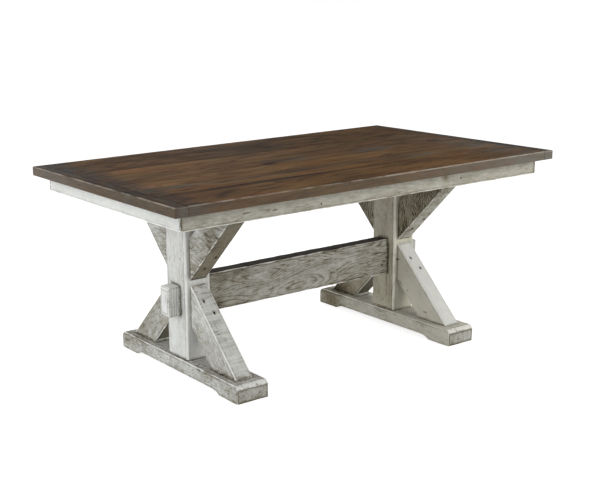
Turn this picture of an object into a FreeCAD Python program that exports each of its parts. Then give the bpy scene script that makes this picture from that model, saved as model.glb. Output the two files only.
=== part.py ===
"""Trestle dining table: plank top with breadboard ends, apron frame, two braced trestles and a stretcher.

Frame: millimetres, X along the table, Y across it, Z up. The origin is on the floor under the table's centre.
Front is -Y, left is -X.
"""

import FreeCAD, Part
import math
import os
from collections import namedtuple

Vector = FreeCAD.Vector

# Overall sizes
top_length = 1828.8
top_width = 1066.8
table_height = 787.4
top_thickness = 36.5

# Plank top: relative board widths from front to back, and the breadboard ends
board_shares = (204, 132, 131, 145, 143, 160, 152)
breadboard_width = 50.8
tongue_length = 16.0
tongue_thickness = 12.0
tongue_stop = 45.0
seam_bevel = 1.2
top_edge_ease = 3.0

# Apron frame under the top
apron_setback = 48.0
apron_height = 62.0
apron_thickness = 22.0
apron_ease = 2.0
corner_block_leg = 72.0
corner_block_tip = 9.0
corner_block_rise = 12.0

# Trestles
trestle_inset = 381.0
foot_length = 834.0
foot_width = 139.7
foot_height = 70.0
foot_end_bevel = 12.0
foot_toe_margin = 49.0
foot_ease = 2.5
foot_pad_length = 117.0
foot_relief_depth = 15.0
foot_relief_run = 30.0
post_width = 139.7
post_thickness = 114.3
post_chamfer = 6.0
stub_tenon_width = 80.0
stub_tenon_thickness = 50.0
stub_tenon_depth = 14.0
bearer_width = 88.9
bearer_height = 44.5
bearer_apron_gap = 31.0
bearer_end_bevel = 22.0
bearer_end_land = 20.0

# Braces: the lower ones end on the foot, the upper ones on the bearer
brace_width = 114.3
brace_thickness = 76.2
brace_ease = 2.5
brace_nib = 10.0
lower_brace_top = 368.0
brace_gap = 18.0

# Stretcher with through tenons
stretcher_top = 388.0
stretcher_height = 156.0
stretcher_thickness = 62.0
stretcher_ease = 2.0
tenon_lower_shoulder = 9.0
tenon_upper_shoulder = 27.0
tenon_projection = 55.0
tenon_end_bevel = 8.0
tenon_side_bevel = 3.0

# Fits
joint_clearance = 0.2
tenon_end_gap = 1.0
bore_clearance = 0.15
bore_end_gap = 1.0

# Screw stock: head and shank sizes, each round in a few flat sides
screw_sides = 8
screw_point_radius = 0.5
ScrewStock = namedtuple("ScrewStock", "head_radius head_height shank_radius tip")
brace_screw = ScrewStock(head_radius=4.8, head_height=3.6, shank_radius=2.6, tip=6.0)
top_screw = ScrewStock(head_radius=6.5, head_height=3.5, shank_radius=2.5, tip=5.0)
pocket_screw = ScrewStock(head_radius=4.4, head_height=3.0, shank_radius=2.0, tip=4.0)
block_screw = ScrewStock(head_radius=4.4, head_height=3.2, shank_radius=2.1, tip=4.0)
lag_screw = ScrewStock(head_radius=8.3, head_height=6.4, shank_radius=4.8, tip=8.0)
washer_radius = 12.5
washer_thickness = 2.0

# Screw places
brace_screw_recess = 10.0
brace_screw_cover = 13.5
lower_brace_screw_spots = ((80.0, -12.0), (136.0, 8.0))
upper_brace_screw_spots = ((78.0, -4.0), (148.0, 14.0))
brace_end_screw_length = 85.0
brace_end_screw_recess = 12.0
lag_length = 90.0
lag_recess = 14.0
top_screw_cover = 10.5
top_slot_travel = 4.0
pocket_angle = 15.0
pocket_seat_depth = 25.0
pocket_bite = 18.0
pocket_end_inset = 125.0
long_apron_pocket_count = 4
short_apron_pocket_count = 2
block_screw_offset = 33.0
block_screw_seat = 18.0
block_screw_cover = 6.0
block_screw_edge = 14.0

# Levels and lines that several pieces share
top_underside = table_height - top_thickness
apron_bottom = top_underside - apron_height
bearer_underside = top_underside - bearer_height
corner_block_bottom = apron_bottom + corner_block_rise
stretcher_bottom = stretcher_top - stretcher_height
tenon_bottom = stretcher_bottom + tenon_lower_shoulder
tenon_top = stretcher_top - tenon_upper_shoulder
trestle_offset = top_length / 2 - trestle_inset
post_side = post_width / 2
mortise_half = stretcher_thickness / 2 + joint_clearance
apron_outer_x = top_length / 2 - apron_setback
apron_outer_y = top_width / 2 - apron_setback
apron_inner_x = apron_outer_x - apron_thickness
apron_inner_y = apron_outer_y - apron_thickness
bearer_half = apron_inner_y - bearer_apron_gap
bearer_flat_end = bearer_half - bearer_end_bevel

# Braces: toe and heel are the ends of the cut along foot or bearer, and a post cut meets the post
lower_brace_toe = foot_length / 2 - foot_toe_margin
lower_rise = lower_brace_top - foot_height
lower_run = lower_brace_toe - post_side
lower_slant = math.hypot(lower_rise, lower_run)
lower_brace_heel = lower_brace_toe - brace_width * lower_slant / lower_rise
lower_post_cut = brace_width * lower_slant / lower_run
upper_brace_bottom = lower_brace_top + brace_gap
upper_brace_toe = bearer_flat_end - bearer_end_land
upper_rise = bearer_underside - upper_brace_bottom
upper_run = upper_brace_toe - post_side
upper_slant = math.hypot(upper_rise, upper_run)
upper_brace_heel = upper_brace_toe - brace_width * upper_slant / upper_rise
upper_post_cut = brace_width * upper_slant / upper_run
foot_screw_seat = foot_relief_depth + brace_end_screw_recess
bearer_screw_seat = top_underside - brace_end_screw_recess

SIDES = {"left": -1, "right": 1}
FACES = {"front": -1, "back": 1}


# Shape helpers

def block(x, y, z):
    """A box between two limits on each axis."""
    low = Vector(min(x), min(y), min(z))
    return Part.makeBox(abs(x[1] - x[0]), abs(y[1] - y[0]), abs(z[1] - z[0]), low)


def prism(points, travel):
    """A closed polygon of 3-D points pushed along a vector."""
    return Part.Face(Part.makePolygon(points + points[:1])).extrude(travel)


def yz_prism(points, x):
    """A polygon in Y and Z, pushed from x[0] to x[1]."""
    return prism([Vector(x[0], py, pz) for py, pz in points], Vector(x[1] - x[0], 0, 0))


def eased(shape, size, wanted):
    """The shape with a flat of the given size on every edge that wanted() picks."""
    return shape.makeChamfer(size, [edge for edge in shape.Edges if wanted(edge)])


def runs_along(edge, direction):
    """True where a straight edge is parallel to a direction."""
    span = edge.Vertexes[-1].Point.sub(edge.Vertexes[0].Point)
    return span.cross(direction).Length < 1e-6 * span.Length


def ends_of(edge):
    """The two end points of an edge."""
    return [vertex.Point for vertex in edge.Vertexes]


# Screws: each is a seat under its head, the way it points, its length and how deep the head is sunk

Screw = namedtuple("Screw", "stock seat direction length recess")


def faceted(outline, screw):
    """A flat-sided round about a screw's axis: radius and height above the seat, from one end to the other."""
    turns = [2 * math.pi * k / screw_sides for k in range(screw_sides)]
    rings = [[Vector(r * math.cos(t), r * math.sin(t), h) for t in turns] for r, h in outline]
    loops = [rings[0], rings[-1]]
    for upper, lower in zip(rings, rings[1:]):
        loops += [[upper[k - 1], upper[k], lower[k], lower[k - 1]] for k in range(screw_sides)]
    faces = [Part.Face(Part.makePolygon(loop + loop[:1])) for loop in loops]
    solid = Part.Solid(Part.Shell(faces)).removeSplitter()
    turn = FreeCAD.Rotation(Vector(0, 0, -1), screw.direction)
    solid.Placement = FreeCAD.Placement(screw.seat, turn)
    return solid


def bore_radius(radius):
    """The corner radius of a bore that leaves the clearance on every flat of a round."""
    return radius + bore_clearance / math.cos(math.pi / screw_sides)


def shank_outline(screw):
    """The shank from the seat to its point."""
    stock = screw.stock
    shoulder = stock.tip - screw.length
    return [(stock.shank_radius, 0), (stock.shank_radius, shoulder), (screw_point_radius, -screw.length)]


def screw_solid(screw):
    """A flat-seated screw with a pointed end."""
    stock = screw.stock
    head = [(stock.head_radius, stock.head_height), (stock.head_radius, 0)]
    return faceted(head + shank_outline(screw), screw)


def screw_bore(screw, head_radius):
    """The hole that a screw needs: a flat-bottomed recess for the head and a pilot for the shank."""
    recess_radius = bore_radius(head_radius)
    pilot_radius = bore_radius(screw.stock.shank_radius)
    recess = [(recess_radius, screw.recess), (recess_radius, 0)] if screw.recess else []
    return faceted(recess + [(pilot_radius, 0), (pilot_radius, -screw.length - bore_end_gap)], screw)


def lag_solid(screw):
    """A lag screw with a hexagon head that bears on a washer."""
    stock = screw.stock
    shank = faceted(shank_outline(screw), screw)
    corners = [math.radians(60 * k) for k in range(6)]
    head = prism(
        [Vector(stock.head_radius * math.cos(a), stock.head_radius * math.sin(a), 0) for a in corners],
        Vector(0, 0, stock.head_height),
    )
    head.Placement = shank.Placement
    return shank.fuse(head).removeSplitter()


def lag_washer(screw):
    """The flat washer between a lag screw's head and the wood."""
    hole = bore_radius(screw.stock.shank_radius)
    disc = faceted([(washer_radius, 0), (washer_radius, -washer_thickness)], screw)
    return disc.cut(faceted([(hole, 0), (hole, -washer_thickness)], screw))


def lag_bore(screw):
    """The stepped hole for a lag screw and its washer."""
    wood_seat = screw.seat + screw.direction * washer_thickness
    sunk = screw._replace(seat=wood_seat, length=screw.length - washer_thickness)
    return screw_bore(sunk, washer_radius)


# Plank top

def board_lines():
    """The Y lines between the boards, from the front edge to the back edge."""
    lines = [-top_width / 2]
    for share in board_shares:
        lines.append(lines[-1] + share * top_width / sum(board_shares))
    return lines


def eased_section(y0, y1, front, back):
    """The Y and Z outline of the top between two lines, with a flat of its own size on each upper arris."""
    return [
        (y0, top_underside),
        (y1, top_underside),
        (y1, table_height - back),
        (y1 - back, table_height),
        (y0 + front, table_height),
        (y0, table_height - front),
    ]


def top_board(y0, y1, first, last):
    """One board: bevelled along its seams, eased along the table's edge, tongued at both ends."""
    front = top_edge_ease if first else seam_bevel
    back = top_edge_ease if last else seam_bevel
    half = top_length / 2 - breadboard_width
    board = yz_prism(eased_section(y0, y1, front, back), (-half, half))
    middle = top_underside + top_thickness / 2
    tongue = block(
        (-half - tongue_length, half + tongue_length),
        (y0 + (tongue_stop if first else 0), y1 - (tongue_stop if last else 0)),
        (middle - tongue_thickness / 2, middle + tongue_thickness / 2),
    )
    return board.fuse(tongue).removeSplitter()


def breadboard(side):
    """A cross board that caps the ends of the boards, with a stopped groove for their tongues."""
    outer = side * top_length / 2
    inner = outer - side * breadboard_width
    outline = [
        (outer, top_underside),
        (inner, top_underside),
        (inner, table_height - seam_bevel),
        (inner + side * seam_bevel, table_height),
        (outer - side * top_edge_ease, table_height),
        (outer, table_height - top_edge_ease),
    ]
    points = [Vector(x, -top_width / 2, z) for x, z in outline]
    across = yz_prism(eased_section(-top_width / 2, top_width / 2, top_edge_ease, top_edge_ease), (inner, outer))
    board = prism(points, Vector(0, top_width, 0)).common(across)
    middle = top_underside + top_thickness / 2
    groove_half = tongue_thickness / 2 + joint_clearance
    groove = block(
        (inner - side, inner + side * (tongue_length + tenon_end_gap)),
        (-top_width / 2 + tongue_stop - joint_clearance, top_width / 2 - tongue_stop + joint_clearance),
        (middle - groove_half, middle + groove_half),
    )
    return board.cut(groove)


# Apron frame

def apron(outline):
    """One apron board with mitred ends, its outer lower arris eased."""
    board = prism([Vector(x, y, apron_bottom) for x, y in outline], Vector(0, 0, apron_height))
    outer = (Vector(*outline[0], apron_bottom), Vector(*outline[1], apron_bottom))
    return eased(board, apron_ease, lambda edge: all(min((p - o).Length for o in outer) < 1e-6 for p in ends_of(edge)))


def long_apron(face):
    """The front or back apron."""
    outer, inner = face * apron_outer_y, face * apron_inner_y
    return apron(
        [(-apron_outer_x, outer), (apron_outer_x, outer), (apron_inner_x, inner), (-apron_inner_x, inner)]
    )


def short_apron(side):
    """The left or right apron."""
    outer, inner = side * apron_outer_x, side * apron_inner_x
    return apron(
        [(outer, -apron_outer_y), (outer, apron_outer_y), (inner, apron_inner_y), (inner, -apron_inner_y)]
    )


def corner_block(side, face):
    """A three-cornered block with blunt tips, glued into a corner of the apron frame."""
    leg, tip = corner_block_leg, corner_block_tip
    outline = [(0, 0), (leg, 0), (leg, tip), (tip, leg), (0, leg)]
    points = [
        Vector(side * (apron_inner_x - along), face * (apron_inner_y - across), corner_block_bottom)
        for along, across in outline
    ]
    return prism(points, Vector(0, 0, top_underside - corner_block_bottom))


# Trestles

def foot(side):
    """The floor beam: bevelled ends, a relieved underside between two pads, a mortise for the post."""
    half = foot_length / 2
    pad = half - foot_pad_length
    upper = foot_height - foot_end_bevel
    outline = [
        (-half, 0),
        (-half, upper),
        (-half + foot_end_bevel, foot_height),
        (half - foot_end_bevel, foot_height),
        (half, upper),
        (half, 0),
        (pad, 0),
        (pad - foot_relief_run, foot_relief_depth),
        (-pad + foot_relief_run, foot_relief_depth),
        (-pad, 0),
    ]
    centre = side * trestle_offset
    beam = yz_prism(outline, (centre - foot_width / 2, centre + foot_width / 2))
    beam = eased(beam, foot_ease, lambda edge: is_foot_arris(edge, centre))
    return beam.cut(stub_tenon(side, foot_height, -1, joint_clearance))


def is_foot_arris(edge, centre):
    """True for the long upper edges of a foot, bevels included."""
    points = ends_of(edge)
    at_face = all(abs(abs(p.x - centre) - foot_width / 2) < 1e-6 for p in points)
    return at_face and all(p.z > foot_height - foot_end_bevel - 1e-6 for p in points)


def stub_tenon(side, level, way, clearance=0.0):
    """A stub tenon that leaves a post's end at a level, upward or downward, or with clearance its mortise."""
    reach = stub_tenon_depth + (tenon_end_gap if clearance else 0.0)
    centre = side * trestle_offset
    half_x = stub_tenon_thickness / 2 + clearance
    half_y = stub_tenon_width / 2 + clearance
    return block((centre - half_x, centre + half_x), (-half_y, half_y), (level, level + way * reach))


def post(side):
    """The upright: chamfered arrises, stub tenons into foot and bearer, a through mortise for the stretcher."""
    centre = side * trestle_offset
    half = post_thickness / 2
    body = block((centre - half, centre + half), (-post_side, post_side), (foot_height, bearer_underside))
    body = eased(body, post_chamfer, lambda edge: runs_along(edge, Vector(0, 0, 1)))
    body = body.fuse(stub_tenon(side, foot_height, -1)).fuse(stub_tenon(side, bearer_underside, 1))
    mortise = block(
        (centre - post_thickness, centre + post_thickness),
        (-mortise_half, mortise_half),
        (tenon_bottom - joint_clearance, tenon_top + joint_clearance),
    )
    return body.cut(mortise).removeSplitter()


def bearer(side):
    """The rail under the top, with bevelled ends, a mortise for the post and slots for the top screws."""
    outline = [
        (-bearer_half, top_underside),
        (-bearer_half, bearer_underside + bearer_end_bevel),
        (-bearer_flat_end, bearer_underside),
        (bearer_flat_end, bearer_underside),
        (bearer_half, bearer_underside + bearer_end_bevel),
        (bearer_half, top_underside),
    ]
    centre = side * trestle_offset
    rail = yz_prism(outline, (centre - bearer_width / 2, centre + bearer_width / 2))
    rail = rail.cut(stub_tenon(side, bearer_underside, 1, joint_clearance))
    return rail.cut([top_slot(screw) for screw in top_screws() if screw.seat.x * side > 0])


def brace(outline, side):
    """A brace of the given Y and Z outline, eased along its two sloping edges."""
    centre = side * trestle_offset
    body = yz_prism(outline, (centre - brace_thickness / 2, centre + brace_thickness / 2))
    start, end = outline[0], outline[1]
    slope = Vector(0, end[0] - start[0], end[1] - start[1])
    return eased(body, brace_ease, lambda edge: runs_along(edge, slope))


def lower_brace(side, face):
    """From the side of the post down to the foot, with a blunt nib at its heel."""
    nib_face = lower_brace_heel - brace_nib * lower_run / lower_rise
    outline = [
        (face * post_side, lower_brace_top),
        (face * lower_brace_toe, foot_height),
        (face * nib_face, foot_height),
        (face * nib_face, foot_height + brace_nib),
        (face * post_side, lower_brace_top - lower_post_cut),
    ]
    return brace(outline, side)


def upper_brace(side, face):
    """From the side of the post up to the bearer."""
    outline = [
        (face * post_side, upper_brace_bottom),
        (face * upper_brace_toe, bearer_underside),
        (face * upper_brace_heel, bearer_underside),
        (face * post_side, upper_brace_bottom + upper_post_cut),
    ]
    return brace(outline, side)


def stretcher():
    """The beam on edge between the posts; its tenons are shouldered above and below and bevelled at their ends."""
    shoulder = trestle_offset - post_thickness / 2
    end = trestle_offset + post_thickness / 2 + tenon_projection
    half = stretcher_thickness / 2
    beam = block((-shoulder, shoulder), (-half, half), (stretcher_bottom, stretcher_top))
    beam = eased(beam, stretcher_ease, lambda edge: runs_along(edge, Vector(1, 0, 0)))
    tenon = block((-end, end), (-half, half), (tenon_bottom, tenon_top))
    tenon = eased(tenon, tenon_end_bevel, lambda edge: runs_along(edge, Vector(0, 1, 0)))
    tenon = eased(tenon, tenon_side_bevel, lambda edge: all(abs(abs(p.x) - end) < 1e-6 for p in ends_of(edge))
                  and runs_along(edge, Vector(0, 0, 1)))
    return beam.fuse(tenon).removeSplitter()


# Where the screws go

def brace_screws(spots, start, slope):
    """Level screws from the braces' sloping edges into the posts; spots are (distance along the slope, X offset)."""
    recess = brace_screw_recess + 2 * brace_screw.head_radius / abs(slope)
    screws = []
    for side in SIDES.values():
        for face in FACES.values():
            along = Vector(0, face, slope).normalize()
            for distance, shift in spots:
                surface = Vector(side * trestle_offset + shift, face * post_side, start) + along * distance
                seat = surface - Vector(0, face * brace_screw_recess, 0)
                length = abs(seat.y) - mortise_half - brace_screw_cover
                screws.append(Screw(brace_screw, seat, Vector(0, -face, 0), length, recess))
    return screws


def end_screws(opening, seat_level, heel, toe):
    """One upright screw into the end of each brace, sunk from an open face of the foot or the bearer."""
    way = Vector(0, 0, math.copysign(1, seat_level - opening))
    recess = abs(seat_level - opening)
    middle = (heel + toe) / 2
    return [
        Screw(brace_screw, Vector(side * trestle_offset, face * middle, seat_level), way, brace_end_screw_length, recess)
        for side in SIDES.values()
        for face in FACES.values()
    ]


def lag_screws():
    """One lag screw up through each foot and one down through each bearer."""
    sunk = lag_recess - washer_thickness
    screws = []
    for side in SIDES.values():
        for start, way in ((foot_relief_depth, 1), (top_underside, -1)):
            seat = Vector(side * trestle_offset, 0, start + way * sunk)
            screws.append(Screw(lag_screw, seat, Vector(0, 0, way), lag_length, lag_recess))
    return screws


def top_screws():
    """From under each bearer up into the boards, inside the upper braces and past their toes."""
    length = bearer_height + top_thickness - top_screw_cover
    lines = ((post_side + upper_brace_heel) / 2, (upper_brace_toe + bearer_flat_end) / 2)
    return [
        Screw(top_screw, Vector(side * trestle_offset, face * y, bearer_underside), Vector(0, 0, 1), length, 0.0)
        for side in SIDES.values()
        for face in FACES.values()
        for y in lines
    ]


def top_slot(screw):
    """The slot through a bearer that lets a top screw move across the boards."""
    radius = bore_radius(screw.stock.shank_radius)
    travel = Vector(0, top_slot_travel, 0)
    outline = [(radius, 0), (radius, -bearer_height)]
    ends = [faceted(outline, screw._replace(seat=screw.seat + travel * way)) for way in (-1, 1)]
    x, y = screw.seat.x, screw.seat.y
    middle = block(
        (x - radius, x + radius), (y - top_slot_travel, y + top_slot_travel), (bearer_underside, top_underside)
    )
    return middle.fuse(ends).removeSplitter()


def spaced(reach, count):
    """Places from -reach to reach in even steps."""
    return [reach * (2 * k / (count - 1) - 1) for k in range(count)]


def pocket_screws():
    """Angled screws from pockets in the aprons' inner faces up into the top."""
    lean = math.sin(math.radians(pocket_angle))
    rise = math.cos(math.radians(pocket_angle))
    middle = apron_thickness / 2
    reach = (middle + bore_radius(pocket_screw.head_radius) / rise) / lean - pocket_seat_depth
    spots = [
        (Vector(x, face * (apron_outer_y - middle), top_underside), Vector(0, face, 0))
        for face in FACES.values()
        for x in spaced(apron_inner_x - pocket_end_inset, long_apron_pocket_count)
    ]
    spots += [
        (Vector(side * (apron_outer_x - middle), y, top_underside), Vector(side, 0, 0))
        for side in SIDES.values()
        for y in spaced(apron_inner_y - pocket_end_inset, short_apron_pocket_count)
    ]
    screws = []
    for entry, outward in spots:
        direction = outward * lean + Vector(0, 0, rise)
        seat = entry - direction * pocket_seat_depth
        screws.append(Screw(pocket_screw, seat, direction, pocket_seat_depth + pocket_bite, reach))
    return screws


def block_screws():
    """Two level screws from each corner block, one into each apron, at two heights."""
    length = block_screw_seat + apron_thickness - block_screw_cover
    recess = corner_block_leg + corner_block_tip - block_screw_offset - block_screw_seat + block_screw.head_radius
    low, high = corner_block_bottom + block_screw_edge, top_underside - block_screw_edge
    screws = []
    for side in SIDES.values():
        for face in FACES.values():
            seat = Vector(
                side * (apron_inner_x - block_screw_offset), face * (apron_inner_y - block_screw_seat), low
            )
            screws.append(Screw(block_screw, seat, Vector(0, face, 0), length, recess))
            seat = Vector(
                side * (apron_inner_x - block_screw_seat), face * (apron_inner_y - block_screw_offset), high
            )
            screws.append(Screw(block_screw, seat, Vector(side, 0, 0), length, recess))
    return screws


# Assembly

def wooden_pieces():
    """Every wooden piece by its name, before it is drilled."""
    pieces = {"stretcher": stretcher()}
    lines = board_lines()
    for k in range(len(board_shares)):
        pieces[f"top_board_{k + 1}"] = top_board(lines[k], lines[k + 1], k == 0, k == len(board_shares) - 1)
    for side_name, side in SIDES.items():
        pieces[f"breadboard_{side_name}"] = breadboard(side)
        pieces[f"apron_{side_name}"] = short_apron(side)
        pieces[f"foot_{side_name}"] = foot(side)
        pieces[f"post_{side_name}"] = post(side)
        pieces[f"bearer_{side_name}"] = bearer(side)
        for face_name, face in FACES.items():
            pieces[f"corner_block_{face_name}_{side_name}"] = corner_block(side, face)
            pieces[f"lower_brace_{side_name}_{face_name}"] = lower_brace(side, face)
            pieces[f"upper_brace_{side_name}_{face_name}"] = upper_brace(side, face)
    for face_name, face in FACES.items():
        pieces[f"apron_{face_name}"] = long_apron(face)
    return pieces


def drilled(piece, bores):
    """The piece with every bore that reaches it cut out."""
    near = [bore for bore in bores if bore.BoundBox.intersect(piece.BoundBox)]
    return piece.cut(near).removeSplitter() if near else piece


def main():
    groups = {
        "lower_brace_screws": brace_screws(lower_brace_screw_spots, lower_brace_top, -lower_rise / lower_run),
        "upper_brace_screws": brace_screws(upper_brace_screw_spots, upper_brace_bottom, upper_rise / upper_run),
        "foot_brace_screws": end_screws(0.0, foot_screw_seat, lower_brace_heel, lower_brace_toe),
        "bearer_brace_screws": end_screws(top_underside, bearer_screw_seat, upper_brace_heel, upper_brace_toe),
        "top_screws": top_screws(),
        "apron_pocket_screws": pocket_screws(),
        "corner_block_screws": block_screws(),
    }
    lags = lag_screws()
    nodes = {name: Part.makeCompound([screw_solid(s) for s in screws]) for name, screws in groups.items()}
    nodes["post_lag_screws"] = Part.makeCompound([lag_solid(s) for s in lags])
    nodes["post_lag_washers"] = Part.makeCompound([lag_washer(s) for s in lags])
    bores = [screw_bore(s, s.stock.head_radius) for screws in groups.values() for s in screws]
    bores += [lag_bore(s) for s in lags]
    for name, piece in wooden_pieces().items():
        nodes[name] = drilled(piece, bores)
    os.makedirs("parts", exist_ok=True)
    for name, shape in nodes.items():
        shape.exportStep(f"parts/{name}.step")


main()
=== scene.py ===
"""A trestle dining table: a dark stained plank top on a base in distressed white paint.

Each wooden piece is a worn copy of its solid. Its arrises are rounded, it is cut into a fine grid along its
grain, and its faces and edges are sunk a little where hands, feet and tools have been. The copy carries the
grain's own coordinates, the worn arrises, the closeness of its neighbours and its finish, which the
materials read. From these they paint shade near the neighbours, paint the worn arrises pale as wear and
as a highlight, and paint shade and warm light into the finish. The screws are turned round, with a star
recess in each head.

X runs along the table, Y across it with the front at -Y, and Z up from the floor. Lengths are in metres.
"""
import math
from collections import namedtuple

import bmesh
import bpy
import numpy as np
from mathutils import Matrix, Vector, noise
from mathutils.bvhtree import BVHTree
from mathutils.kdtree import KDTree


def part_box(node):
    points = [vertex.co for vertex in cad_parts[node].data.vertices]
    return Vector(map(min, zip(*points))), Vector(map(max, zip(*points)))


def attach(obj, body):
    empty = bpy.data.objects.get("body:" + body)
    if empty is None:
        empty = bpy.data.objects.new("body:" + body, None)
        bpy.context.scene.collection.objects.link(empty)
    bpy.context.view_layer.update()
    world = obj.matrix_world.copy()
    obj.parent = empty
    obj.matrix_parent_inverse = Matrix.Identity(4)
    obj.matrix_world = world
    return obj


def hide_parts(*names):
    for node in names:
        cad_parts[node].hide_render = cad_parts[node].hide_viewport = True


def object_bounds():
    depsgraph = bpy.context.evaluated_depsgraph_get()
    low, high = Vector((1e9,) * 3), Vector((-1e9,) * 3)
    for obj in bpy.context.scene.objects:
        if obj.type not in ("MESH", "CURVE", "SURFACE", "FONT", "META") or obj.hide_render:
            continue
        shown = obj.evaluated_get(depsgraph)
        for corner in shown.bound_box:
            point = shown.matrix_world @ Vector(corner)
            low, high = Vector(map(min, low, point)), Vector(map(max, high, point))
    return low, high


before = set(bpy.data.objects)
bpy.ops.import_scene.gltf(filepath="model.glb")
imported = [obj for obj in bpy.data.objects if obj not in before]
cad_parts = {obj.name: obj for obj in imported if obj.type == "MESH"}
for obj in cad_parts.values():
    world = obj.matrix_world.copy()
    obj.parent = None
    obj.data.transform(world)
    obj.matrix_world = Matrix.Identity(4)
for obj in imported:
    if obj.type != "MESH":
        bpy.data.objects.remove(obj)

cad_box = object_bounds()

# Picture and camera
IMAGE_WIDTH = 600
IMAGE_HEIGHT = 500
PRINCIPAL_POINT = (222.0, 245.0)
FOCAL_PIXELS = 1116.3
SENSOR_WIDTH = 36.0
CAMERA_PLACE = Vector((-2.7612, -3.5212, 1.5093))
CAMERA_YAW = math.radians(34.147)
CAMERA_PITCH = math.radians(13.566)
CAMERA_ROLL = math.radians(-1.161)

# Wear, the reach of the search for neighbours, whose gaps give painted shade, and the pale rim, which is
# also a painted highlight. CRISP_ARRIS is a factor on the distance from an arris
WELD = 2e-5
FLAT_ANGLE = math.radians(0.6)
ARRIS_ANGLE = math.radians(20)
ARRIS_LENGTH = 0.018
ARRIS_WIDTH = 0.018
BEVEL_LENGTH = 4 * ARRIS_WIDTH
GAP_REACH = 0.05
RIM = 0.006
RIM_FADE = 0.0005
CRISP_ARRIS = 2.0
SHARP_ANGLE = math.radians(38)
PATTERN_STEP = Vector((3.17, 1.73, 0.91))
SWELL_SIZE = 0.11
DENT_SIZE = 0.05

# Shares of a unit vector along an axis, which tell the way a face or the grain runs
SQUARE_TO_GRAIN = 0.2
END_GRAIN = 0.85
UPRIGHT = 0.5
OUTER_FACE = 0.5
POST_FACE = 0.5
FOOT_END = 0.9
BRACE_NOSE = 0.9
SLOPE_LOW = 0.4
SLOPE_HIGH = 0.95
STRETCHER_TOP = 0.6
TENON_END_FACE = 0.6
TENON_SIDE_FACE = 0.7

# Screws: sides of a round, the solid's own sides, and the star recess in the head
ROUND_SIDES = 36
SOLID_SIDES = 8
STAR_POINTS = 6
STAR_RADIUS = 0.46
STAR_DEPTH = 0.62
STAR_LOBE = 0.16
OUTLINE_DIGITS = 5
# A head's rings and its recess's: how deep, as a share of the head's height, and the share of the radius
HEAD_RINGS = ((0.42, 1.0), (0.24, 0.985), (0.10, 0.93), (0.02, 0.84), (0.0, 0.74))
RECESS_RINGS = ((0.0, 1.06), (0.03, 1.0), (STAR_DEPTH, 0.92))

# How finely a piece is cut along, across and through its grain, how far its arrises are rounded, how deep
# its faces swell and its arrises are dented, how often its faces are divided, and whether its bevels are
# worn pale, which is also a painted highlight
Wear = namedtuple("Wear", "grid rounding swell dents levels pale_bevels", defaults=(2, True))
BOARD_WEAR = Wear((0.044, 0.030, 0.018), rounding=0.0007, swell=0.0004, dents=0.0005)
BASE_WEAR = Wear((0.034, 0.028, 0.024), rounding=0.0010, swell=0.0009, dents=0.0020)
UPPER_WEAR = Wear((0.034, 0.028, 0.024), rounding=0.0009, swell=0.0009, dents=0.0008, pale_bevels=False)
FOOT_WEAR = Wear((0.034, 0.028, 0.018), rounding=0.0011, swell=0.0012, dents=0.0032)
STRETCHER_WEAR = Wear((0.034, 0.028, 0.020), rounding=0.0012, swell=0.0009, dents=0.0045)
HIDDEN_WEAR = Wear((0.060, 0.040, 0.040), rounding=0.0008, swell=0.0004, dents=0.0010, levels=1)

# How a painted face is finished: the glaze on it, partly painted shade, how uneven that is, saw marks
# across the grain, growth rings, fine lines along the grain, how warm the paint is tinted, which is painted
# warm light bounced into shade, and how far it is scraped
Finish = namedtuple("Finish", "glaze grime saw figure lines warmth scrapes", defaults=(0.0, 0.0, 0.0))
GLAZE = Finish._fields.index("glaze")

# The painted pieces by the start of their names, the longer names first. The heavy glaze of
# lower_brace_right_back is painted shade, and the warmth of the right trestle's pieces is painted warm
# light
PAINT = {
    "apron_left": Finish(0.14, 0.5, 0.08, 0.1),
    "apron": Finish(0.37, 0.6, 0.06, 0.2, warmth=0.4),
    "post_left": Finish(0.18, 1.0, 0.15, 0.1),
    "post_right": Finish(0.255, 0.8, 0.1, 0.0, warmth=1.0),
    "foot_left": Finish(0.33, 1.0, 0.35, 0.1, scrapes=1.2),
    "foot_right": Finish(0.16, 0.75, 0.2, 0.0, warmth=0.6, scrapes=0.5),
    "lower_brace_left_back": Finish(0.42, 1.1, 0.25, 0.3),
    "lower_brace_left": Finish(0.32, 1.1, 0.25, 0.2, scrapes=0.6),
    "lower_brace_right_front": Finish(0.02, 0.6, 0.0, 0.0, warmth=0.7),
    # It stands in shade: its heavy glaze is painted shade
    "lower_brace_right_back": Finish(0.46, 0.6, 0.2, 0.2, warmth=0.8),
    "upper_brace_left": Finish(0.45, 1.35, 0.2, 0.4),
    "upper_brace_right": Finish(0.46, 0.9, 0.2, 0.3, lines=1.0, warmth=0.8),
    "stretcher": Finish(0.475, 0.9, 0.2, 0.85),
}
# The braces' noses and outer slopes. The lower braces' upward slopes are painted lighter, partly clean
# paint and partly a painted highlight, and the left upper brace's downward slopes darker, painted shade
SLOPES = {
    "lower_brace_left": Finish(0.03, 0.7, 1.5, 0.0),
    "lower_brace_right": Finish(-0.12, 0.4, 0.2, 0.0),
    "upper_brace_left": Finish(0.70, 0.4, 0.2, 0.0, warmth=0.3),
    "upper_brace_right": Finish(0.44, 1.3, 0.4, 0.0, warmth=0.3),
}
DARK_TOP = Finish(1.10, 0.5, 0.3, 0.3)
TENON_SIDE = Finish(0.04, 0.5, 0.0, 0.0)
TENON_END = Finish(0.02, 0.3, 0.0, 0.0)
# Painted shade on the lower braces' undersides
BRACE_UNDERSIDE_SHADE = Finish(0.70, 0.4, 0.0, 0.0)
RIGHT_FOOT_FRONT = Finish(0.50, 1.2, 0.0, 0.0)
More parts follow.
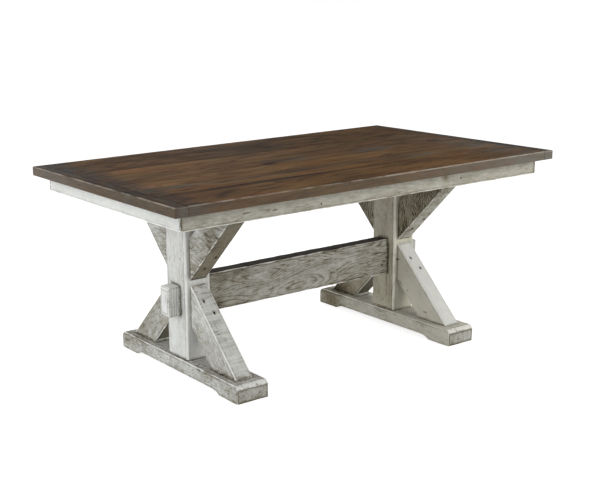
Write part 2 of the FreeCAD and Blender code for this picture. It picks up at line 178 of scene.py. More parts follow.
# The posts' fronts and backs
POST_FRONTS = {
    "post_left": Finish(-0.10, 0.3, 0.0, 0.0),
    "post_right": Finish(0.04, 0.3, 0.0, 0.0, warmth=0.8),
}
CLEAN_PAINT = (0.90, 0.905, 0.88)

# The stretcher's tenons and the chisel ridges on their sides
TENON_START = 0.5910
TENON_GRID = 0.008
RIDGE_SPACING = 0.0115
RIDGE_DEPTH = 0.0022
# Glaze in the ridges' furrows, which also stands for painted shade there
RIDGE_GLAZE_AND_SHADE = 0.28
RIDGE_DRIFT = 5.0
RIDGE_DRIFT_SIZE = 0.02
RIDGE_STRETCH = np.array([1.0, 1.0, 0.5])

# Heavier glaze, and painted shade at the right foot's far end: a place, how far it reaches, and how much
# more
GLAZE_AND_SHADE_PATCHES = [
    ((-0.572, -0.205, 0.580), 0.040, 0.28),
    ((-0.572, -0.150, 0.650), 0.030, 0.22),
    ((-0.572, -0.210, 0.170), 0.050, 0.08),
    # Painted shade at the right foot's far end
    ((0.464, 0.340, 0.045), 0.110, 0.54),
    ((0.464, -0.370, 0.040), 0.080, -0.06),
    ((-0.603, -0.370, 0.035), 0.090, 0.12),
    ((-0.603, 0.380, 0.035), 0.120, 0.10),
    ((-0.533, -0.417, 0.035), 0.060, -0.05),
    ((0.476, 0.000, 0.150), 0.090, 0.14),
    ((0.495, -0.085, 0.195), 0.018, 0.40),
    ((0.352, -0.485, 0.734), 0.020, 0.30),
    ((-0.428, -0.031, 0.255), 0.030, 0.35),
    ((-0.430, -0.031, 0.310), 0.100, 0.06),
    ((0.000, -0.031, 0.310), 0.200, -0.04),
]
# Nail and worm holes, cracks and scratches: a place and its half sizes
PAINT_MARKS = [
    ((0.435, -0.485, 0.720), (0.004, 0.010, 0.004)),
    ((-0.269, -0.485, 0.709), (0.004, 0.010, 0.004)),
    ((-0.596, -0.485, 0.720), (0.018, 0.010, 0.002)),
    ((-0.477, -0.485, 0.715), (0.012, 0.010, 0.002)),
    ((0.495, -0.074, 0.301), (0.010, 0.010, 0.003)),
    ((0.495, -0.134, 0.173), (0.010, 0.004, 0.004)),
    ((0.495, -0.246, 0.103), (0.010, 0.012, 0.004)),
    ((0.476, 0.002, 0.107), (0.010, 0.003, 0.003)),
    ((0.476, -0.024, 0.079), (0.010, 0.004, 0.003)),
    ((0.425, -0.031, 0.331), (0.030, 0.010, 0.002)),
    ((0.443, -0.031, 0.275), (0.006, 0.010, 0.004)),
    ((0.443, -0.031, 0.240), (0.010, 0.010, 0.002)),
    ((-0.646, -0.012, 0.315), (0.010, 0.002, 0.018)),
    ((-0.646, -0.026, 0.300), (0.010, 0.002, 0.026)),
]
STAIN_MARKS = [
    ((-0.847, -0.533, 0.783), (0.005, 0.010, 0.004)),
    ((-0.737, -0.533, 0.780), (0.004, 0.010, 0.003)),
    ((-0.384, -0.533, 0.780), (0.004, 0.010, 0.003)),
    ((-0.177, -0.533, 0.783), (0.005, 0.010, 0.004)),
    ((-0.068, -0.533, 0.783), (0.005, 0.010, 0.004)),
    ((-0.029, -0.533, 0.759), (0.004, 0.010, 0.003)),
    ((0.202, -0.533, 0.783), (0.004, 0.010, 0.004)),
    ((0.300, -0.533, 0.762), (0.004, 0.010, 0.003)),
]

# How much lighter and greyer the stain of each plank is than the plain brown
STAIN = {
    "top_board_1": (-0.01, 0.06),
    "top_board_2": (0.06, 0.05),
    "top_board_3": (0.05, 0.05),
    "top_board_4": (0.00, 0.08),
    "top_board_5": (-0.01, 0.08),
    "top_board_6": (-0.09, 0.05),
    "top_board_7": (-0.08, 0.05),
    "breadboard": (-0.15, 0.60),
}
# Patches in the stain, and painted sheen and highlight at the top's left back corner, its right end and
# its front right edge: centre, half length along the table, half width, lighter, greyer
STAIN_AND_SHEEN_PATCHES = [
    (-0.04, -0.01, 0.10, 0.03, -0.05, 0.7),
    (0.386, -0.029, 0.11, 0.03, -0.05, 0.8),
    (0.436, -0.267, 0.12, 0.03, -0.02, 0.7),
    (-0.71, -0.22, 0.16, 0.03, -0.08, 0.6),
    (-0.168, -0.04, 0.030, 0.016, -0.50, 0.2),
    (0.745, -0.012, 0.030, 0.016, -0.40, 0.2),
    (-0.30, -0.335, 0.50, 0.018, -0.30, 0.2),
    (-0.08, 0.36, 0.30, 0.12, -0.15, 0.2),
    (-0.60, 0.15, 0.22, 0.06, 0.14, -0.1),
    # Painted sheen at the left back corner
    (-0.88, 0.40, 0.10, 0.25, 0.08, 0.6),
    # Painted sheen over the right end
    (0.80, -0.30, 0.14, 0.40, 0.03, 0.9),
    (-0.25, -0.24, 0.45, 0.022, -0.16, 0.3),
    (0.30, -0.20, 0.30, 0.020, -0.14, 0.3),
    (-0.835, 0.0, 0.050, 2.0, -0.18, 0.45),
    (-0.916, 0.0, 0.014, 2.0, -0.16, -0.55),
    # Painted highlight along the right part of the front edge and at its corner
    (0.600, -0.535, 0.450, 0.012, 0.04, 0.60),
    (0.890, -0.535, 0.024, 0.020, 0.22, 0.60),
    (0.45, 0.10, 0.35, 0.30, -0.06, 0.15),
]

WHITE = (1.0, 1.0, 1.0, 1.0)
MIDDLE = (0.5, 0.5, 0.5)


def solid_mesh(node):
    """A node's solid as a bmesh with its flat faces whole."""
    bm = bmesh.new()
    bm.from_mesh(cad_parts[node].data)
    bmesh.ops.remove_doubles(bm, verts=bm.verts, dist=WELD)
    bmesh.ops.dissolve_limit(bm, angle_limit=FLAT_ANGLE, verts=bm.verts, edges=bm.edges)
    return bm


def grain_axes(bm, node):
    """Unit vectors along the grain, across it and through the piece.

    The grain follows the longest edge, except in the upper braces, where it lies level or stands upright.
    """
    longest = max(bm.edges, key=lambda edge: edge.calc_length())
    along = (longest.verts[1].co - longest.verts[0].co).normalized()
    if node.startswith("upper_brace"):
        along = Vector((0.0, 1.0, 0.0)) if "left" in node else Vector((0.0, 0.0, 1.0))
    if max(along, key=abs) < 0:
        along.negate()
    low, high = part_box(node)
    square = [axis for axis in range(3) if abs(along[axis]) < SQUARE_TO_GRAIN]
    thin = min(square, key=lambda axis: high[axis] - low[axis])
    through = Vector([float(axis == thin) for axis in range(3)])
    return along, through.cross(along).normalized(), through


def is_bevel(face):
    """True for a long narrow face that turns outward at each of its long edges."""
    reach = max(edge.calc_length() for edge in face.edges)
    if reach < BEVEL_LENGTH or face.calc_area() > ARRIS_WIDTH * reach:
        return False
    sides = [edge for edge in face.edges if edge.calc_length() > reach / 2]
    return all(edge.is_convex and edge.calc_face_angle() > ARRIS_ANGLE for edge in sides)


def round_arrises(bm, rounding, pale_bevels):
    """Rounds the long outer edges, and marks them and the narrow bevels for pale wear and painted
    highlight.
    """
    arris = bm.faces.layers.int.new("arris")
    for face in bm.faces if pale_bevels else []:
        face[arris] = int(is_bevel(face))
    edges = [edge for edge in bm.edges if edge.is_manifold and edge.is_convex
             and edge.calc_face_angle() > ARRIS_ANGLE and edge.calc_length() > ARRIS_LENGTH]
    made = bmesh.ops.bevel(bm, geom=edges, offset=rounding, offset_type="OFFSET", segments=2,
                           profile=0.5, affect="EDGES", clamp_overlap=True)
    for face in made["faces"]:
        face[arris] = 1


def cut_grid(bm, axes, grid):
    """Cuts the mesh by evenly spaced planes square to each grain axis."""
    for axis, spacing in zip(axes, grid):
        heights = [vert.co.dot(axis) for vert in bm.verts]
        low, high = min(heights), max(heights)
        count = max(1, round((high - low) / spacing))
        for cut in range(1, count):
            level = low + (high - low) * cut / count
            bmesh.ops.bisect_plane(bm, geom=bm.verts[:] + bm.edges[:] + bm.faces[:],
                                   plane_co=axis * level, plane_no=axis, dist=WELD)


def cut_tenons(bm):
    """Cuts the stretcher's two tenons more finely, for their chiselled ridges."""
    reach = max(vert.co.x for vert in bm.verts)
    for cut in range(1, math.ceil((reach - TENON_START) / TENON_GRID)):
        for side in (-1, 1):
            place = Vector((side * (TENON_START + cut * TENON_GRID), 0.0, 0.0))
            bmesh.ops.bisect_plane(bm, geom=bm.verts[:] + bm.edges[:] + bm.faces[:],
                                   plane_co=place, plane_no=(1.0, 0.0, 0.0), dist=WELD)


def tenon_ridges(points, normals, seed):
    """The upright chisel ridges on the tenons' sides, from 0 on a ridge to 1 in a furrow."""
    reach = np.abs(points[:, 0])
    drift = RIDGE_DRIFT * waves(points * RIDGE_STRETCH, RIDGE_DRIFT_SIZE, seed)
    furrows = 0.5 + 0.5 * np.sin(2 * math.pi * reach / RIDGE_SPACING + drift)
    return furrows * (reach > TENON_START) * (np.abs(normals[:, 1]) > TENON_SIDE_FACE)


def divided(name, bm, levels):
    """The mesh as an object with every face divided evenly."""
    mesh = bpy.data.meshes.new(name)
    bm.to_mesh(mesh)
    bm.free()
    piece = bpy.data.objects.new(name, mesh)
    bpy.context.scene.collection.objects.link(piece)
    divide = piece.modifiers.new("divide", "SUBSURF")
    divide.subdivision_type = "SIMPLE"
    divide.levels = levels
    fine = bpy.data.meshes.new_from_object(piece.evaluated_get(bpy.context.evaluated_depsgraph_get()))
    piece.modifiers.clear()
    piece.data = fine
    bpy.data.meshes.remove(mesh)
    fine.name = name
    return piece


def points_of(mesh, field="co"):
    """Each vertex's place, or another vector that it has."""
    values = np.zeros(len(mesh.vertices) * 3, np.float32)
    mesh.vertices.foreach_get(field, values)
    return values.reshape(-1, 3)


def arris_points(mesh):
    """1 for each vertex on a worn arris, which is also painted as a highlight, else 0."""
    marks = np.zeros(len(mesh.polygons), np.int32)
    mesh.attributes["arris"].data.foreach_get("value", marks)
    counts = np.zeros(len(mesh.polygons), np.int32)
    mesh.polygons.foreach_get("loop_total", counts)
    corners = np.zeros(len(mesh.loops), np.int32)
    mesh.loops.foreach_get("vertex_index", corners)
    worn_and_highlit = np.zeros(len(mesh.vertices))
    worn_and_highlit[corners[np.repeat(marks > 0, counts)]] = 1
    return worn_and_highlit


def waves(points, size, seed):
    """Smooth noise from 0 to 1 with lumps of about that size."""
    offset = PATTERN_STEP * (seed + 1)
    return np.array([0.5 + 0.5 * noise.noise(Vector(point) / size + offset) for point in points])


def neighbours_tree(node):
    """A search tree of every other solid."""
    verts, faces = [], []
    for name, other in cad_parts.items():
        if name != node:
            start = len(verts)
            verts.extend(vert.co for vert in other.data.vertices)
            faces.extend([start + index for index in face.vertices] for face in other.data.polygons)
    return BVHTree.FromPolygons(verts, faces)


def neighbour_gaps(points, tree):
    """How far each point is from its nearest neighbour, up to a reach; for seams and painted shade."""
    gaps = [tree.find_nearest(Vector(point), GAP_REACH)[3] for point in points]
    return np.array([GAP_REACH if gap is None else gap for gap in gaps])


def on_rim(points):
    """True for points at the upper outer edges of the table's top."""
    low, high = (np.array(corner) for corner in cad_box)
    outer = ((points - low)[:, :2].min(axis=1) < RIM) | ((high - points)[:, :2].min(axis=1) < RIM)
    return outer & (high[2] - points[:, 2] < RIM)


def arris_gaps(points, worn_and_highlit):
    """How far each point is from the nearest worn arris, painted pale as wear and as a highlight."""
    places = np.flatnonzero(worn_and_highlit)
    if not len(places):
        return np.full(len(points), GAP_REACH)
    tree = KDTree(len(places))
    for index in places:
        tree.insert(points[index], int(index))
    tree.balance()
    return np.array([tree.find(point)[2] for point in points])


def store(mesh, name, values, kind="FLOAT"):
    """Keeps a value or a vector at each vertex for the materials."""
    field = "vector" if kind == "FLOAT_VECTOR" else "value"
    mesh.attributes.new(name, kind, "POINT").data.foreach_set(field, values.astype(np.float32).ravel())


def paint_finish(node, points, normals, furrows):
    """A painted piece's finish at each of its points, with one column for each field.

    The outer faces of a right piece are finished as its left twin is.
    """
    own = next(prefix for prefix in PAINT if node.startswith(prefix))
    twin = next(prefix for prefix in PAINT if node.replace("right", "left").startswith(prefix))
    finish = np.tile(np.array(PAINT[own]), (len(normals), 1))
    finish[normals[:, 0] > OUTER_FACE] = PAINT[twin]
    upward = normals[:, 2]
    sideways = np.abs(normals[:, 1])
    # The braces' slopes and noses: painted highlight on the lower ones, painted shade on the upper left one
    for prefix, slope in SLOPES.items():
        if node.startswith(prefix):
            outward = upward if prefix.startswith("lower") else -upward
            sloping = (outward > SLOPE_LOW) & (outward < SLOPE_HIGH)
            finish[sloping | (sideways > BRACE_NOSE)] = slope
    # The lower braces' undersides get painted shade
    if node.startswith("lower_brace"):
        finish[upward < -SLOPE_LOW] = BRACE_UNDERSIDE_SHADE
    if node == "stretcher":
        tenon = np.abs(points[:, 0]) > TENON_START
        finish[upward > STRETCHER_TOP] = DARK_TOP
        finish[tenon] = TENON_SIDE
        finish[tenon & (np.abs(normals[:, 0]) > TENON_END_FACE)] = TENON_END
        # Glaze and painted shade in the tenons' furrows
        finish[:, GLAZE] += RIDGE_GLAZE_AND_SHADE * furrows
    if node in POST_FRONTS:
        finish[sideways > POST_FACE] = POST_FRONTS[node]
    if node == "foot_right":
        finish[normals[:, 1] < -FOOT_END] = RIGHT_FOOT_FRONT
    for place, reach, more in GLAZE_AND_SHADE_PATCHES:
        apart = ((points - np.array(place)) ** 2).sum(axis=1) / reach ** 2
        finish[:, GLAZE] += more * np.exp(-apart)
    return finish


def fields(finish, *names):
    """Some columns of a finish, by name."""
    return finish[:, [Finish._fields.index(name) for name in names]]


def stain_tone(node, points, normals):
    """How much lighter and greyer each point is, in stain and painted sheen, and 1 on its upright faces."""
    plank = STAIN[next(prefix for prefix in STAIN if node.startswith(prefix))]
    lighter, greyer = (np.full(len(points), level) for level in plank)
    for x, y, length, width, more_light, more_grey in STAIN_AND_SHEEN_PATCHES:
        reach = ((points[:, 0] - x) / length) ** 2 + ((points[:, 1] - y) / width) ** 2
        share = np.exp(-reach)
        lighter += more_light * share
        greyer += more_grey * share
    # The upright faces are marked so that the material paints them lighter: painted light
    return np.stack([lighter, greyer, np.abs(normals[:, 2]) < UPRIGHT], axis=1)


def put_in_place(piece, node, material):
    """Smooths and colours a piece, and lets it stand for its node."""
    mesh = piece.data
    mesh.polygons.foreach_set("use_smooth", np.ones(len(mesh.polygons), bool))
    mesh.set_sharp_from_angle(angle=SHARP_ANGLE)
    mesh.materials.clear()
    mesh.materials.append(material)
    mesh.update()
    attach(piece, "root")
    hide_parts(node)


def worn_piece(node, wear, material, slot, seed):
    """Makes a worn copy of a wooden node, in its place."""
    bm = solid_mesh(node)
    axes = grain_axes(bm, node)
    round_arrises(bm, wear.rounding, wear.pale_bevels)
    cut_grid(bm, axes, wear.grid)
    if node == "stretcher":
        cut_tenons(bm)
    piece = divided("worn_" + node, bm, wear.levels)
    mesh = piece.data
    points = points_of(mesh)
    normals = points_of(mesh, "normal")
    worn_and_highlit = arris_points(mesh)
    furrows = tenon_ridges(points, normals, seed) if node == "stretcher" else np.zeros(len(points))
    store(mesh, "gap", neighbour_gaps(points, neighbours_tree(node)))
    grain = np.stack([points @ np.array(axis) for axis in axes], axis=1)
    store(mesh, "grain", grain + np.array(PATTERN_STEP) * (seed + 1), "FLOAT_VECTOR")
    if slot == "white_paint":
        finish = paint_finish(node, points, normals, furrows)
        store(mesh, "finish", fields(finish, "glaze", "saw", "figure"), "FLOAT_VECTOR")
        store(mesh, "ageing_and_warm_light", fields(finish, "grime", "lines", "warmth"), "FLOAT_VECTOR")
        store(mesh, "scraped", fields(finish, "scrapes"))
        store(mesh, "end", np.abs(normals @ np.array(axes[0])) > END_GRAIN)
        store(mesh, "edge", arris_gaps(points, worn_and_highlit) * (CRISP_ARRIS if "upper" in node else 1.0))
    if slot == "stained_top":
        store(mesh, "tone", stain_tone(node, points, normals), "FLOAT_VECTOR")
        store(mesh, "edge", arris_gaps(points, worn_and_highlit * on_rim(points)) + RIM_FADE * (points[:, 0] < 0))
    sunk = wear.swell * waves(points, SWELL_SIZE, seed)
    sunk += wear.dents * worn_and_highlit * waves(points, DENT_SIZE, seed) ** 2
    sunk += RIDGE_DEPTH * furrows
    moved = points - normals * sunk[:, None].astype(np.float32)
    mesh.vertices.foreach_set("co", moved.ravel())
    put_in_place(piece, node, material)


def separate_solids(node):
    """The corner points of each separate solid of a node."""
    bm = bmesh.new()
    bm.from_mesh(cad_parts[node].data)
    bmesh.ops.remove_doubles(bm, verts=bm.verts, dist=WELD)
    bm.verts.index_update()
    seen = set()
    solids = []
    for first in bm.verts:
        points = []
        front = [first] if first.index not in seen else []
        seen.add(first.index)
        while front:
            vert = front.pop()
            points.append(vert.co[:])
            for edge in vert.link_edges:
                other = edge.other_vert(vert)
                if other.index not in seen:
                    seen.add(other.index)
                    front.append(other)
        if points:
            solids.append(np.array(points))
    bm.free()
    return solids


def screw_outline(points):
    """A screw's middle, its axis towards the head, and its corners' heights and radii from the point up."""
    middle = points.mean(axis=0)
    axis = np.linalg.svd(points - middle)[2][0]
    heights = (points - middle) @ axis
    radii = np.linalg.norm(points - middle - np.outer(heights, axis), axis=1)
    if radii[heights.argmax()] < radii[heights.argmin()]:
        axis, heights = -axis, -heights
    corners = {(round(float(height), OUTLINE_DIGITS), round(float(radius), OUTLINE_DIGITS))
               for height, radius in zip(heights, radii)}
    return middle, axis, sorted(corners)


def screw_rings(corners):
    """Rings from the point up to the eased head and its recess: height, radius and how far it is a star."""
    inside = math.cos(math.pi / SOLID_SIDES)
    (seat, radius), (top, _) = corners[-2:]
    head = top - seat
    radius *= inside
    rings = [(height, corner * inside, 0.0) for height, corner in corners[:-1]]
    for drop, share in HEAD_RINGS:
        rings.append((top - drop * head, share * radius, 0.0))
    for drop, share in RECESS_RINGS:
        rings.append((top - drop * head, share * STAR_RADIUS * radius, 1.0))
    return rings


def turned_screws(node, material):
    """Makes round screws with eased heads and star recesses, in place of a node's flat-sided ones."""
    bm = bmesh.new()
    turns = [2 * math.pi * side / ROUND_SIDES for side in range(ROUND_SIDES)]
    for points in separate_solids(node):
        middle, axis, corners = screw_outline(points)
        turned = Vector(axis).to_track_quat("Z", "X").to_matrix().to_4x4()
        placed = Matrix.Translation(Vector(middle)) @ turned
        loops = []
        for height, radius, star in screw_rings(corners):
            lobes = [radius * (1 + STAR_LOBE * star * math.cos(STAR_POINTS * turn)) for turn in turns]
            ring = [Vector((reach * math.cos(turn), reach * math.sin(turn), height))
                    for reach, turn in zip(lobes, turns)]
            loops.append([bm.verts.new(placed @ point) for point in ring])
        for lower, upper in zip(loops, loops[1:]):
            for side in range(ROUND_SIDES):
                bm.faces.new((lower[side - 1], lower[side], upper[side], upper[side - 1]))
        bm.faces.new(loops[0][::-1])
        bm.faces.new(loops[-1])
    mesh = bpy.data.meshes.new("turned_" + node)
    bm.to_mesh(mesh)
    bm.free()
    piece = bpy.data.objects.new("turned_" + node, mesh)
    bpy.context.scene.collection.objects.link(piece)
    put_in_place(piece, node, material)


class Nodes:
    """One material's node tree. A socket given as an input is linked, any other value is set."""

    def __init__(self, name):
        self.material = bpy.data.materials.new(name)
        self.material.use_nodes = True
        self.tree = self.material.node_tree
        self.shader = self.tree.nodes["Principled BSDF"]

    def feed(self, socket, value):
        if isinstance(value, bpy.types.NodeSocket):
            self.tree.links.new(value, socket)
        else:
            socket.default_value = value

    def add(self, kind, inputs=None, output=0, **settings):
        node = self.tree.nodes.new(kind)
        for key, value in settings.items():
            setattr(node, key, value)
        for key, value in (inputs or {}).items():
            self.feed(node.inputs[key], value)
        return node.outputs[output]

    def attribute(self, name, output="Fac"):
        return self.add("ShaderNodeAttribute", output=output, attribute_name=name)

    def math(self, operation, first, second=0.0, clamp=False):
        return self.add("ShaderNodeMath", {0: first, 1: second}, operation=operation, use_clamp=clamp)

    def weighted(self, *terms):
        """The sum of value times weight. A value of 1.0 adds its weight as it is."""
        total = 0.0
        for value, weight in terms:
            total = self.add("ShaderNodeMath", {0: value, 1: weight, 2: total}, operation="MULTIPLY_ADD")
        return total

    def vector(self, operation, first, second):
        return self.add("ShaderNodeVectorMath", {0: first, 1: second}, operation=operation)

    def length(self, vector):
        return self.add("ShaderNodeVectorMath", {0: vector}, output=1, operation="LENGTH")

    def step(self, value, low, high):
        """0 at low, 1 at high and smooth between."""
        return self.add("ShaderNodeMapRange", {"Value": value, "From Min": low, "From Max": high},
                        interpolation_type="SMOOTHSTEP")

    def noise(self, place, size, detail=3.0, rough=0.55, output="Fac"):
        """Noise whose lumps measure about size, in metres, along each axis."""
        scaled = self.vector("DIVIDE", place, size)
        return self.add("ShaderNodeTexNoise", {"Vector": scaled, "Scale": 1.0, "Detail": detail,
                                               "Roughness": rough}, output=output)

    def ramp(self, value, stops):
        """A colour from a list of (place, colour)."""
        node = self.tree.nodes.new("ShaderNodeValToRGB")
        self.feed(node.inputs[0], value)
        elements = node.color_ramp.elements
        while len(elements) < len(stops):
            elements.new(0.5)
        for element, (place, colour) in zip(elements, stops):
            element.position = place
            element.color = (*colour, 1.0)
        return node.outputs[0]

    def mix(self, share, first, second, blend="MIX"):
        """The first colour blended with that share of the second."""
        colours = [value if isinstance(value, bpy.types.NodeSocket) else (*value, 1.0)
                   for value in (first, second)]
        return self.add("ShaderNodeMix", {0: share, 6: colours[0], 7: colours[1]}, output=2,
                        data_type="RGBA", blend_type=blend)

    def split(self, vector):
        node = self.tree.nodes.new("ShaderNodeSeparateXYZ")
        self.feed(node.inputs[0], vector)
        return node.outputs

    def specks(self, place, spacing, radius, sparse):
        """Small round dots of that radius, one to a cell, left out of a sparse share of the cells."""
        node = self.tree.nodes.new("ShaderNodeTexVoronoi")
        self.feed(node.inputs["Vector"], place)
        self.feed(node.inputs["Scale"], 1 / spacing)
        dots = self.step(node.outputs["Distance"], 1.3 * radius / spacing, 0.7 * radius / spacing)
        chosen = self.step(self.split(node.outputs["Color"])[0], sparse, sparse + 0.02)
        return self.math("MULTIPLY", dots, chosen)

    def marks(self, places):
        """Small dark marks with ragged edges, given as centres and half sizes."""
        spot = self.add("ShaderNodeTexCoord", output="Object")
        size = (0.006, 0.006, 0.006)
        push = self.vector("SUBTRACT", self.noise(spot, size, output="Color"), MIDDLE)
        ragged = self.vector("ADD", spot, self.vector("MULTIPLY", push, size))
        total = 0.0
        for centre, half_sizes in places:
            apart = self.vector("DIVIDE", self.vector("SUBTRACT", ragged, centre), half_sizes)
            total = self.math("ADD", self.step(self.length(apart), 1.2, 0.7), total)
        return total

    def wandering(self, place, size, reach):
        """The place pushed sideways across the grain, so that straight patterns wander."""
        push = self.noise(place, size, detail=1.0, output="Color")
        centred = self.vector("SUBTRACT", push, MIDDLE)
        return self.vector("ADD", place, self.vector("MULTIPLY", centred, (0.0, reach, reach)))

    def slanted(self, place, slant):
        """Short strokes at a slant to the grain, in patches."""
        inputs = {"Vector": place, "Axis": (0.0, 1.0, 1.0), "Angle": slant}
        turned = self.add("ShaderNodeVectorRotate", inputs, rotation_type="AXIS_ANGLE")
        strokes = self.step(self.noise(turned, (0.040, 0.0060, 0.0060), detail=2.0), 0.53, 0.70)
        where = self.step(self.noise(turned, (0.06, 0.05, 0.05), detail=2.0), 0.44, 0.60)
        return self.math("MULTIPLY", strokes, where)

    def contours(self, value, count):
        """Bands that run along the level lines of a value, from 0 to 1."""
        turn = self.math("MULTIPLY", value, 2 * math.pi * count)
        return self.weighted((self.math("SINE", turn), 0.5), (1.0, 0.5))

    def surface(self, colour, roughness, height, bump, specular):
        """The finished material. Bump is how far the height stands out, in metres."""
        self.feed(self.shader.inputs["Base Color"], colour)
        self.feed(self.shader.inputs["Roughness"], roughness)
        self.feed(self.shader.inputs["Specular IOR Level"], specular)
        normal = self.add("ShaderNodeBump", {"Strength": 1.0, "Distance": bump, "Height": height})
        self.feed(self.shader.inputs["Normal"], normal)
        return self.material


def distressed_paint(name):
    """White paint on rough wood, with a dark glaze wiped into its grain, saw marks and cracks.

    It has painted shade where it meets other parts, and its pale worn arrises are also a painted highlight.
    """
    n = Nodes(name)
    grain = n.attribute("grain", "Vector")
    glaze, saw, figure = n.split(n.attribute("finish", "Vector"))
    grime, lines, warmth = n.split(n.attribute("ageing_and_warm_light", "Vector"))
    edge = n.attribute("edge")
    end = n.attribute("end")
    wavy = n.wandering(grain, (0.22, 0.08, 0.08), reach=0.05)
    cloud = n.noise(grain, (0.13, 0.07, 0.07), detail=4.0, rough=0.6)
    mottle = n.noise(grain, (0.026, 0.011, 0.011), detail=4.0, rough=0.65)
    crackle = n.step(n.noise(wavy, (0.034, 0.0055, 0.0055), detail=3.0, rough=0.6), 0.52, 0.68)
    fibre = n.noise(wavy, (0.09, 0.0032, 0.0032), detail=4.0)
    strokes = n.step(n.noise(wavy, (0.040, 0.0050, 0.0050), detail=2.0), 0.56, 0.72)
    smears = n.weighted(
        (n.math("SUBTRACT", cloud, 0.5), 0.62),
        (n.math("SUBTRACT", mottle, 0.5), 0.55),
        (n.math("SUBTRACT", fibre, 0.5), 0.22),
        (n.math("SUBTRACT", crackle, 0.25), 0.13),
        (n.math("MULTIPLY", strokes, n.step(cloud, 0.40, 0.60)), 0.20),
    )
    scraped = n.math("MAXIMUM", n.slanted(wavy, math.radians(34)), n.slanted(wavy, math.radians(-52)))
    scrapes = n.math("MULTIPLY", scraped, n.attribute("scraped"))
    growth = n.noise(wavy, (0.60, 0.11, 0.11), detail=1.0)
    rings = n.math("MULTIPLY", n.step(n.contours(growth, count=24), 0.55, 1.0), n.step(fibre, 0.30, 0.60))
    waved = n.split(n.wandering(grain, (0.06, 0.05, 0.05), reach=0.05))
    stripe = n.contours(n.weighted((waved[1], 1.0), (waved[2], 0.6)), count=115)
    striped = n.step(n.weighted((stripe, 0.42), (fibre, 1.15)), 0.62, 1.0)
    sawn = n.step(n.noise(grain, (0.0048, 0.040, 0.040), detail=2.0), 0.53, 0.74)
    sawn_where = n.step(n.noise(grain, (0.11, 0.09, 0.09), detail=3.0), 0.42, 0.62)
    sawing = n.math("MULTIPLY", n.math("MULTIPLY", sawn, sawn_where), saw)
    split = n.math("ABSOLUTE", n.math("SUBTRACT", n.noise(wavy, (0.50, 0.035, 0.035), detail=2.0), 0.5))
    cracked = n.math("MULTIPLY", n.step(split, 0.008, 0.0), n.step(cloud, 0.48, 0.60))
    cracks = n.math("MULTIPLY", cracked, grime)
    bands = n.step(n.noise(grain, (0.016, 0.10, 0.10), detail=2.0), 0.42, 0.66)
    pits = n.specks(grain, spacing=0.055, radius=0.0020, sparse=0.72)
    # Pale worn arrises, which are also a painted highlight along each edge, with glaze left just inside
    # them
    chip = n.noise(grain, (0.05, 0.014, 0.014), detail=4.0)
    ragged = n.weighted((edge, 1.0), (chip, -0.009), (1.0, 0.0040))
    worn_and_highlit = n.step(ragged, 0.0008, -0.0008)
    residue = n.math("MULTIPLY", n.step(ragged, 0.0010, 0.0030), n.step(ragged, 0.009, 0.004))
    # Painted shade where the piece meets or comes close to another part
    contact_shade = n.step(n.weighted((n.attribute("gap"), 1.0), (mottle, -0.010), (1.0, 0.005)), 0.010, 0.0)
    radius = n.length(n.vector("MULTIPLY", wavy, (0.0, 1.0, 1.0)))
    end_rings = n.math("MULTIPLY", n.step(n.contours(radius, count=160), 0.3, 1.0), end)
    end_border = n.math("MULTIPLY", n.step(ragged, 0.014, 0.004), end)
    amount = n.weighted(
        (glaze, 1.0),
        (n.math("MULTIPLY", smears, grime), 1.0),
        (n.math("MULTIPLY", rings, figure), 0.30),
        (n.math("MULTIPLY", striped, lines), 0.34),
        (sawing, 0.34),
        (scrapes, 0.27),
        (n.math("MULTIPLY", bands, saw), 0.16),
        (cracks, 0.35),
        (pits, 0.7),
        (n.marks(PAINT_MARKS), 0.50),
        (end_rings, 0.10),
        (end_border, 0.16),
        (end, -0.06),
        (contact_shade, 0.30),
        (residue, 0.15),
        (worn_and_highlit, -0.40),
    )
    painted = n.ramp(n.weighted((amount, 0.8), (1.0, 0.2)), [
        (0.0, CLEAN_PAINT),
        (0.20, (0.768, 0.785, 0.765)),
        (0.40, (0.605, 0.616, 0.592)),
        (0.56, (0.415, 0.413, 0.374)),
        (0.70, (0.275, 0.256, 0.200)),
        (0.86, (0.13, 0.115, 0.080)),
        (1.0, (0.045, 0.038, 0.026)),
    ])
    # A warm tint, mostly painted warm light bounced into shade on the right trestle
    warm_tinted = n.mix(warmth, painted, (1.0, 0.945, 0.79), blend="MULTIPLY")
    colour = n.mix(n.math("MULTIPLY", worn_and_highlit, 0.58), warm_tinted, CLEAN_PAINT)
    height = n.weighted((fibre, 0.5), (sawing, -0.5), (rings, -0.35), (cracks, -0.8), (scrapes, -0.4),
                        (pits, -1.5))
    roughness = n.weighted((amount, 0.22), (1.0, 0.52))
    return n.surface(colour, roughness, height, bump=0.0012, specular=0.15)


